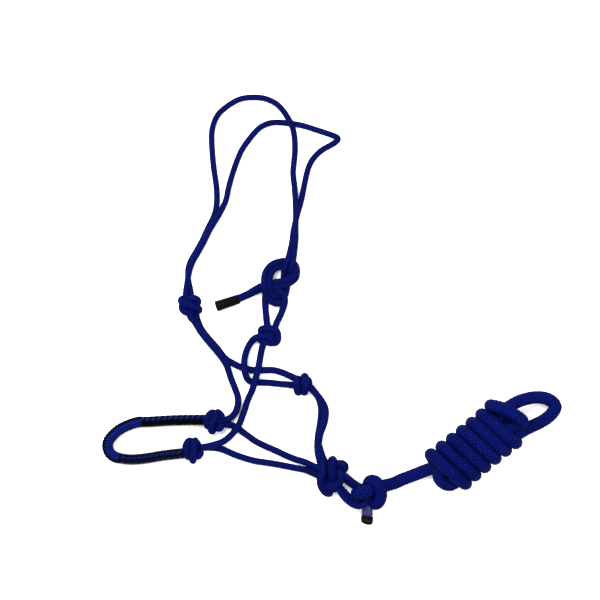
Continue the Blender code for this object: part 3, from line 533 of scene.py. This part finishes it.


# The first colour is the painted shade between strands; the third is the painted highlight, with wear,
# on strand tops.
def rope_material(name, gap_shade, face, light, weave, roughness, sheen):
    """Braided cord: each strand its own tone, painted shade between strands, strand tops painted
    lighter as highlight and wear, fine yarns along them.
    """
    pairs, lean, _ = weave
    n = Nodes(name)
    place = n.add("ShaderNodeUVMap", uv_map="weave").outputs[0]
    split = n.add("ShaderNodeSeparateXYZ")
    n.feed(split.inputs[0], place)
    around, along = split.outputs[0], split.outputs[1]
    slant = n.maths("MULTIPLY", along, lean)
    first = n.maths("MULTIPLY", n.maths("ADD", around, slant), float(pairs))
    second = n.maths("MULTIPLY", n.maths("SUBTRACT", around, slant), float(pairs))
    sum_floor = n.maths("ADD", n.maths("FLOOR", first), n.maths("FLOOR", second))
    count = n.maths("FLOORED_MODULO", sum_floor, 4.0)
    over = n.maths("LESS_THAN", count, 2.0)
    under = n.maths("SUBTRACT", 1.0, over)
    first_part, second_part = n.maths("FRACT", first), n.maths("FRACT", second)
    across = n.maths("ADD", n.maths("MULTIPLY", over, first_part),
                     n.maths("MULTIPLY", under, second_part))
    second_run = n.maths("ADD", n.maths("SUBTRACT", count, 2.0), first_part)
    run = n.maths("ADD", n.maths("MULTIPLY", over, n.maths("ADD", count, second_part)),
                  n.maths("MULTIPLY", under, second_run))
    hill = n.maths("SINE", n.maths("MULTIPLY", across, math.pi))
    arch = n.maths("SINE", n.maths("MULTIPLY", run, math.pi / 2))
    height = n.maths("MULTIPLY", n.maths("POWER", hill, STRAND_ROUNDNESS),
                     n.maths("ADD", n.maths("MULTIPLY", arch, STRAND_RISE), STRAND_LOW))
    yarns = n.maths("SINE", n.maths("MULTIPLY", across, 2 * YARNS * math.pi))
    second_strand = n.maths("ADD", n.maths("FLOOR", second), SECOND_SET)
    strand = n.maths("ADD", n.maths("MULTIPLY", over, n.maths("FLOOR", first)),
                     n.maths("MULTIPLY", under, second_strand))
    shade = n.add("ShaderNodeTexWhiteNoise", noise_dimensions="1D")
    n.feed(shade.inputs["W"], strand)
    spot = n.add("ShaderNodeTexCoord").outputs["Object"]
    patches = n.noise(spot, PATCH_SCALE, 3.0)
    fuzz = n.noise(spot, FUZZ_SCALE, 2.0)
    # Painted shade: low parts of the braid, between strands, take the dark gap colour.
    body = n.mix(n.maths("POWER", height, GAP_SHADE_POWER), (*gap_shade, 1), (*face, 1))
    # Painted highlight and wear: strand tops are coloured lighter in random patches.
    highlight_and_wear = n.maths("MULTIPLY", n.maths("MULTIPLY", height, patches), HIGHLIGHT_AND_WEAR)
    tone = n.mix(highlight_and_wear, body, (*light, 1))
    by_strand = n.maths("MULTIPLY", shade.outputs["Value"], STRAND_SHADES)
    by_fuzz = n.maths("MULTIPLY", fuzz, FUZZ_SHADES)
    varied = n.maths("ADD", DARKEST_SHADE, n.maths("ADD", by_strand, by_fuzz))
    grey = n.add("ShaderNodeCombineColor")
    for socket in grey.inputs[:3]:
        n.feed(socket, varied)
    final = n.add("ShaderNodeMix", data_type="RGBA", blend_type="MULTIPLY")
    final.inputs[0].default_value = 1.0
    n.feed(final.inputs[6], tone)
    n.feed(final.inputs[7], grey.outputs[0])
    n.feed(n.shader.inputs["Base Color"], final.outputs[2])
    n.feed(n.shader.inputs["Roughness"],
           n.maths("ADD", roughness - 0.1, n.maths("MULTIPLY", patches, 0.2)))
    n.shader.inputs["Sheen Weight"].default_value = sheen
    n.shader.inputs["Sheen Roughness"].default_value = 0.35
    n.shader.inputs["Sheen Tint"].default_value = SHEEN_TINT
    n.shader.inputs["Specular IOR Level"].default_value = ROPE_SPECULAR
    fine = n.maths("ADD", n.maths("MULTIPLY", yarns, YARN_RELIEF),
                   n.maths("MULTIPLY", fuzz, FUZZ_RELIEF))
    n.bump(n.maths("ADD", height, fine), *ROPE_BUMP)
    return n.material


def shrink_material():
    """Black shrink tube: satin, faintly wrinkled, with grey scuffs."""
    n = Nodes("shrink_tube")
    spot = n.add("ShaderNodeTexCoord").outputs["Object"]
    wrinkles, scuffs = n.noise(spot, 420.0, 4.0), n.noise(spot, 150.0, 5.0)
    scuffed = n.maths("POWER", scuffs, 3.0)
    n.feed(n.shader.inputs["Base Color"],
           n.mix(scuffed, (0.0007, 0.0008, 0.0008, 1), (0.0055, 0.006, 0.0062, 1)))
    n.feed(n.shader.inputs["Roughness"], n.maths("ADD", 0.34, n.maths("MULTIPLY", wrinkles, 0.25)))
    n.shader.inputs["Specular IOR Level"].default_value = 0.011
    n.bump(wrinkles, 0.00012, 0.6)
    return n.material


def clear_material():
    """Clear shrink sleeve: a thin, slightly cloudy film over the rope."""
    n = Nodes("clear_sleeve")
    spot = n.add("ShaderNodeTexCoord").outputs["Object"]
    cloud = n.noise(spot, 300.0, 4.0)
    n.shader.inputs["Base Color"].default_value = (0.07, 0.09, 0.17, 1)
    n.feed(n.shader.inputs["Roughness"], n.maths("ADD", 0.22, n.maths("MULTIPLY", cloud, 0.15)))
    n.shader.inputs["Alpha"].default_value = 0.18
    n.shader.inputs["Specular IOR Level"].default_value = 0.4
    n.bump(cloud, 0.00006, 0.3)
    return n.material


# Each cord's colours: the painted shade between strands, the cord's own colour, and the painted
# highlight with wear on strand tops.
HALTER = rope_material("halter_cord", (0.00010, 0.0003, 0.0060), (0.0010, 0.0028, 0.046),
                       (0.0023, 0.0050, 0.083), HALTER_WEAVE, 0.62, 0.008)
LEAD = rope_material("lead_cord", (0.0001, 0.0002, 0.0060), (0.0008, 0.0022, 0.043),
                     (0.0025, 0.0070, 0.104), LEAD_WEAVE, 0.66, 0.008)
BLACK = rope_material("plait_black_cord", (0.0002, 0.0002, 0.0002), (0.0006, 0.0007, 0.0008),
                      (0.0022, 0.0024, 0.0026), PLAIT_WEAVE, 0.5, 0.0)
BLUE = rope_material("plait_blue_cord", (0.0002, 0.0004, 0.011), (0.0022, 0.0052, 0.072),
                     (0.0060, 0.0120, 0.140), PLAIT_WEAVE, 0.5, 0.008)
SHRINK = shrink_material()
CLEAR = clear_material()


# ---------------------------------------------------------------- the halter's ropes


def rope_radius(name):
    return HEEL_RADIUS if name.startswith("heel_loop") else HALTER_RADIUS


def make_ropes():
    """Each rope between two knots, as one braided tube."""
    for node, route in ROUTES.items():
        line = softened(smooth_line(route, ROPE_STEP), ROPE_PASSES)
        radius = rope_radius(node)
        name = node.replace("rope", "cord") + "_braid"
        piece = braided_piece(name, [line], radius, HALTER, ROPE_SIDES, HALTER_WEAVE)
        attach(piece, "halter")
        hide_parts(node)


def make_crown():
    """Two strands, each in one length from the left cheek knot to the shrink cap."""
    plans = (
        ("crown_strand_outer", CROWN_OUTER + TIED_OUTER, "crown_rope_outer", "crown_tail_lower"),
        ("crown_strand_inner", CROWN_INNER + TIED_INNER, "crown_rope_inner", "crown_tail_upper"),
    )
    for name, route, strand_node, tail_node in plans:
        line = softened(smooth_line(route, ROPE_STEP), ROPE_PASSES)
        length = distances(line)
        radius = np.interp(length - length[-1], TIED_FROM_END,
                           (CROWN_RADIUS, TIED_RADIUS, TIED_RADIUS, CROWN_RADIUS))
        piece = braided_piece(name, [line], radius, HALTER, CROWN_SIDES, HALTER_WEAVE)
        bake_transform(piece)
        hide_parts(strand_node, tail_node, "tie_hitch")


def make_knots():
    """Each knot's turns, as one piece."""
    for node, turns in KNOT_TURNS.items():
        lines = [softened(smooth_line(turn, ROPE_STEP), KNOT_PASSES) for _, turn in turns]
        radii = [radius * MM for radius, _ in turns]
        piece = braided_piece(node + "_turns", lines, radii, HALTER, ROPE_SIDES, HALTER_WEAVE)
        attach(piece, "halter")
        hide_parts(node)


# ---------------------------------------------------------------- the noseband's plait

PLAIT_CORD = 0.00165
PLAIT_PITCH = 0.00315
PLAIT_HALF_WIDTH = 0.0064
PLAIT_HALF_HEIGHT = 0.0087
BEND_STARTS = 0.0735            # distances along the noseband where its colours change sides
BEND_ENDS = 0.1415
NOSEBAND_STEP = 0.0005
CORD_STEP = 0.0006
CORE_LIFT = 0.0034              # how far the two core strands lie above and below the middle

# Turns: the degrees where one starts and ends, and how far it leans along the noseband.
UPPER_TURN = (40, 400, 0.0006)
BEND_INNER_TURN = (50, 254, 0.0005)
BEND_OUTER_TURN = (-112, 58, 0.0005)
LOWER_INNER_TURN = (98, 274, 0.0006)
LOWER_OUTER_TURN = (-92, 70, 0.0006)
# Stitches on the ridge: the degrees where one lies, and half its length.
UPPER_BLUE_STITCH = (60, 0.0021)
UPPER_BLACK_STITCH = (38, 0.0024)
BEND_STITCH = (32, 0.0026)
LOWER_BLACK_STITCH = (82, 0.0017)
LOWER_BLUE_STITCH = (105, 0.0028)
STITCH_SLANT = 9                # degrees
ARC_STEP = 12                   # degrees from one point of a turn to the next
# A stitch dives under the turns at its ends: shares of its half length, and how high it lies.
STITCH_SHAPE = ((-1, -0.0012), (-0.55, 0.0006), (0, 0.0012), (0.55, 0.0006), (1, -0.0012))


def around_core(centre, out, degrees, lift=0.0):
    """A point on the plait's oval: 0 degrees is outward, 90 is up."""
    angle = math.radians(degrees)
    width, height = PLAIT_HALF_WIDTH - PLAIT_CORD + lift, PLAIT_HALF_HEIGHT - PLAIT_CORD + lift
    return centre + out * width * math.cos(angle) + np.array((0, 0, 1.0)) * height * math.sin(angle)


def plait_arc(centre, out, along, start, end, lean):
    """A turn of cord over part of the oval, leaning along the noseband as it goes."""
    degrees = np.linspace(start, end, int((end - start) / ARC_STEP))
    shift = np.linspace(-lean, lean, len(degrees))
    return np.array([around_core(centre, out, d) + along * s for d, s in zip(degrees, shift)])


def ridge_stitch(place, out, along, degrees, half):
    """A short stitch lying along the noseband on top of the turns."""
    return np.array([
        around_core(place + along * half * share, out, degrees + STITCH_SLANT * share, lift)
        for share, lift in STITCH_SHAPE])


def make_noseband():
    """The plait in two colours, and the two strands that it is worked over."""
    line = smooth_line(NOSEBAND_ROUTE, NOSEBAND_STEP)
    length = distances(line)
    along_all = unit(np.gradient(line, axis=0))
    black, blue = [], []
    count = int(length[-1] / PLAIT_PITCH)
    for k in range(count):
        at = (k + 0.5) * PLAIT_PITCH
        centre = np.array([np.interp(at, length, column) for column in line.T])
        along = unit(np.array([np.interp(at, length, column) for column in along_all.T]))
        place = (centre, unit(np.cross(along, (0, 0, 1))), along)
        even_turn = k % 2 == 0
        if at < BEND_STARTS:
            black.append(plait_arc(*place, *UPPER_TURN))
            if even_turn:
                blue.append(ridge_stitch(*place, *UPPER_BLUE_STITCH))
            else:
                black.append(ridge_stitch(*place, *UPPER_BLACK_STITCH))
        elif at < BEND_ENDS:
            blue.append(plait_arc(*place, *BEND_INNER_TURN))
            black.append(plait_arc(*place, *BEND_OUTER_TURN))
            black.append(ridge_stitch(*place, *BEND_STITCH))
        else:
            black.append(plait_arc(*place, *LOWER_INNER_TURN))
            outer = blue if even_turn else black
            outer.append(plait_arc(*place, *LOWER_OUTER_TURN))
            black.append(ridge_stitch(*place, *LOWER_BLACK_STITCH))
            if even_turn:
                blue.append(ridge_stitch(*place, *LOWER_BLUE_STITCH))
    for name, arcs, material in (
            ("noseband_black_cord", black, BLACK), ("noseband_blue_cord", blue, BLUE)):
        lines = [even(arc, CORD_STEP) for arc in arcs]
        piece = braided_piece(name, lines, PLAIT_CORD, material, CORD_SIDES, PLAIT_WEAVE)
        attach(piece, "halter")
        if material is BLACK:
            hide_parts("noseband_plait")
    core = [line + np.array((0, 0, lift)) for lift in (CORE_LIFT, -CORE_LIFT)]
    strands = braided_piece(
        "noseband_core_cords", core, CORE_RADIUS, HALTER, CORE_SIDES, HALTER_WEAVE)
    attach(strands, "halter")
    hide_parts("noseband_core_upper", "noseband_core_lower")


# ---------------------------------------------------------------- the lead

def in_hank(along, side, height):
    """A place in the hank, in millimetres: along it, to its left and above the floor."""
    c, s = math.cos(HANK_DIRECTION), math.sin(HANK_DIRECTION)
    return (HANK_START[0] + c * along - s * side, HANK_START[1] + s * along + c * side, height)


def wound_turns():
    """The turns from the far end of the hank back to where the lead runs in."""
    points = []
    wound = WRAPS * WRAP_POINTS
    for k in range(1, wound + LAST_POINTS):
        turn = -2 * math.pi * k / WRAP_POINTS
        along = FIRST_WRAP_AT + WRAP_PITCH * turn / (2 * math.pi) + WRAP_LEAN * (1 - math.cos(turn)) / 2
        wander = WRAP_WANDER * math.sin(WANDER_PACE * k / WRAP_POINTS)
        flare = WRAP_FLARE * (2 * k / wound - 1) ** 2 - WRAP_TRIM
        points.append(in_hank(
            along + wander,
            WRAP_SHIFT + (WRAP_HALF_WIDTH + flare) * math.cos(turn),
            HANK_MIDDLE + WRAP_HALF_HEIGHT * math.sin(turn)))
    return points


def lead_route():
    """The whole lead, from its capped tail to its tucked end."""
    into, back, tucked = (
        [in_hank(*place) for place in run] for run in (INTO_HANK, BACK_STRAND, TUCKED_END))
    return LEAD_KNOT_ROUTE + into + LEAD_END_LOOP + back + wound_turns() + tucked


def make_lead():
    """The lead in one length; the cap and sleeve on its tail go with it."""
    line = softened(smooth_line(lead_route(), LEAD_STEP), LEAD_PASSES)
    radius = np.interp(distances(line), TAIL_THICKENS, (TAIL_RADIUS, TAIL_RADIUS, LEAD_RADIUS))
    piece = braided_piece("lead_rope_braid", [line], radius, LEAD, LEAD_SIDES, LEAD_WEAVE)
    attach(piece, "lead")
    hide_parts("lead_knot", "lead_run", "lead_hank", "lead_end_loop", "lead_tail")


# Caps and sleeve: each station's centre, the way it faces, half width and half height, in mm.
CAP_FACING = (-0.955, -0.296, 0)
CROWN_CAP = [
    ((5.2, 3, 7.1), CAP_FACING, 4.8, 7.0),
    ((3, 2.2, 7.3), CAP_FACING, 5.4, 7.6),
    ((-1, 0.9, 7.8), CAP_FACING, 5.6, 7.9),
    ((-8, -1.4, 8), CAP_FACING, 5.7, 8),
    ((-14, -3.4, 8), (-0.955, -0.296, 0.02), 5.8, 7.9),
    ((-20, -5.3, 8), (-0.955, -0.296, 0.1), 6.1, 7.8),
]
CROWN_CAP_RECESS = 0.7
LEAD_CAP = [
    ((148.6, -240.4, 7), (-0.12, -0.99, 0), 6.8, 6.7),
    ((148.5, -242.2, 7), (-0.16, -0.98, 0.05), 6.9, 6.8),
    ((148.3, -244.4, 7.1), (-0.2, -0.93, 0.25), 6.9, 6.8),
    ((148.1, -246.2, 7.3), (-0.22, -0.84, 0.48), 6.8, 6.8),
]
LEAD_CAP_RECESS = 0.5
CLEAR_SLEEVE = [
    ((149.1, -226.5, 7), (-0.04, -1, 0), 6.6, 6.6),
    ((148.9, -231, 7), (-0.04, -1, 0), 6.55, 6.55),
    ((148.7, -236, 7), (-0.06, -1, 0), 6.55, 6.55),
    ((148.6, -239.9, 7), (-0.1, -0.99, 0), 6.65, 6.6),
]
CAP_SIDES = 40
MOUTH_SHARE = 0.80              # a cap's mouth, of its first station's size
ROLL_SHARE = 0.94
ROLL_BACK = 0.2
RIM = ((0.35, 0.97), (0.5, 0.90), (0.35, 0.82))   # past the last station, and of its size
SUNK_SHARE = 0.78


def lofted(name, rings, material):
    """A closed tube through rings of (centre, direction, half width, half height)."""
    around = np.linspace(0, 2 * math.pi, CAP_SIDES, endpoint=False)
    points = []
    for centre, direction, width, height in rings:
        across = unit(np.cross(direction, (0, 0, 1)))
        up = np.cross(across, unit(np.array(direction, float)))
        points.append(np.array(centre) + np.cos(around)[:, None] * across * width
                      + np.sin(around)[:, None] * up * height)
    index = np.arange(len(rings) * CAP_SIDES).reshape(len(rings), CAP_SIDES)
    right = np.roll(index, -1, axis=1)
    faces = [tuple(face) for face in np.stack(
        [index[:-1], right[:-1], right[1:], index[1:]], axis=-1).reshape(-1, 4).tolist()]
    faces += [tuple(index[0][::-1].tolist()), tuple(index[-1].tolist())]
    mesh = bpy.data.meshes.new(name)
    mesh.from_pydata((np.vstack(points) * MM).tolist(), [], faces)
    mesh.shade_smooth()
    mesh.materials.append(material)
    piece = bpy.data.objects.new(name, mesh)
    bpy.context.scene.collection.objects.link(piece)
    return piece


def cap_rings(stations, recess):
    """Rings for a cap: it rolls in at its mouth, and its shut end is a rim round a sunk face."""
    first, facing, width, height = stations[0]
    outward = unit(np.array(facing, float))
    rings = [
        (first, facing, width * MOUTH_SHARE, height * MOUTH_SHARE),
        (np.array(first) - ROLL_BACK * outward, facing, width * ROLL_SHARE, height * ROLL_SHARE),
    ]
    rings += stations
    end, facing, width, height = stations[-1]
    outward = unit(np.array(facing, float))
    for out, share in (*RIM, (-recess, SUNK_SHARE)):
        rings.append((np.array(end) + out * outward, facing, width * share, height * share))
    return rings


def make_caps():
    """The shrink cap on the crown's ends, and the cap and clear sleeve on the lead's tail."""
    crown_cap = cap_rings(CROWN_CAP, CROWN_CAP_RECESS)
    lead_cap = cap_rings(LEAD_CAP, LEAD_CAP_RECESS)
    made = {}
    for name, node, rings, material, slot, body in (
            ("crown_cap_shrunk", "crown_end_cap", crown_cap, SHRINK, "shrink_cap", "halter"),
            ("lead_cap_shrunk", "lead_end_cap", lead_cap, SHRINK, "shrink_cap", "lead"),
            ("lead_tail_film", "lead_tail_sleeve", CLEAR_SLEEVE, CLEAR, "clear_sleeve", "lead")):
        made[name] = lofted(name, rings, material)
        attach(made[name], body)
        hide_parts(node)
    return made


# ---------------------------------------------------------------- studio

SKY_STRENGTH = 1.2
WHITE = (1.0, 1.0, 1.0, 1)
FLOOR_TONES = ((0.93, 0.93, 0.93, 1), (0.95, 0.95, 0.95, 1))
FLOOR_SIZE = 8
FLOOR_HEIGHT = -0.0002
LIGHTS_AIM_AT = (0.07, 0, 0)
# Each light's name, place, size and power in watts.
LIGHTS = (("key", (-0.55, 0.75, 1.9), 1.1, 96.0), ("fill", (1.1, -0.5, 1.7), 1.6, 33.0))
CAMERA_PLACE = (0.0734, 0.0017, 6.0)
VIEW_WIDTH = 0.672              # how much of the floor is in view


def make_studio():
    """A pale floor under soft light from all round and two large lamps."""
    scene = bpy.context.scene
    scene.view_settings.view_transform = "Standard"
    world = bpy.data.worlds.new("studio")
    world.use_nodes = True
    background = world.node_tree.nodes["Background"]
    background.inputs[0].default_value = WHITE
    background.inputs[1].default_value = SKY_STRENGTH
    scene.world = world

    bpy.ops.mesh.primitive_plane_add(size=FLOOR_SIZE, location=(0, 0, FLOOR_HEIGHT))
    floor = bpy.context.object
    floor.name = "floor"
    n = Nodes("pale_floor")
    spot = n.add("ShaderNodeTexCoord").outputs["Object"]
    n.feed(n.shader.inputs["Base Color"], n.mix(n.noise(spot, 3.0), *FLOOR_TONES))
    n.shader.inputs["Roughness"].default_value = 0.9
    n.shader.inputs["Specular IOR Level"].default_value = 0.1
    floor.data.materials.append(n.material)

    for name, place, size, energy in LIGHTS:
        lamp = bpy.data.lights.new(name, "AREA")
        lamp.size = size
        lamp.energy = energy
        light = bpy.data.objects.new(name, lamp)
        light.location = place
        toward = Vector(LIGHTS_AIM_AT) - Vector(place)
        light.rotation_euler = toward.to_track_quat("-Z", "Y").to_euler()
        scene.collection.objects.link(light)


def make_camera():
    """Straight down, from so far above that the tall parts do not lean outwards."""
    data = bpy.data.cameras.new("camera")
    data.lens = data.sensor_width * CAMERA_PLACE[2] / VIEW_WIDTH
    camera = bpy.data.objects.new("camera", data)
    camera.location = CAMERA_PLACE
    bpy.context.scene.collection.objects.link(camera)
    bpy.context.scene.camera = camera


make_camera()
caps = make_caps()
make_lead()
make_ropes()
make_crown()
make_knots()
make_noseband()
make_studio()
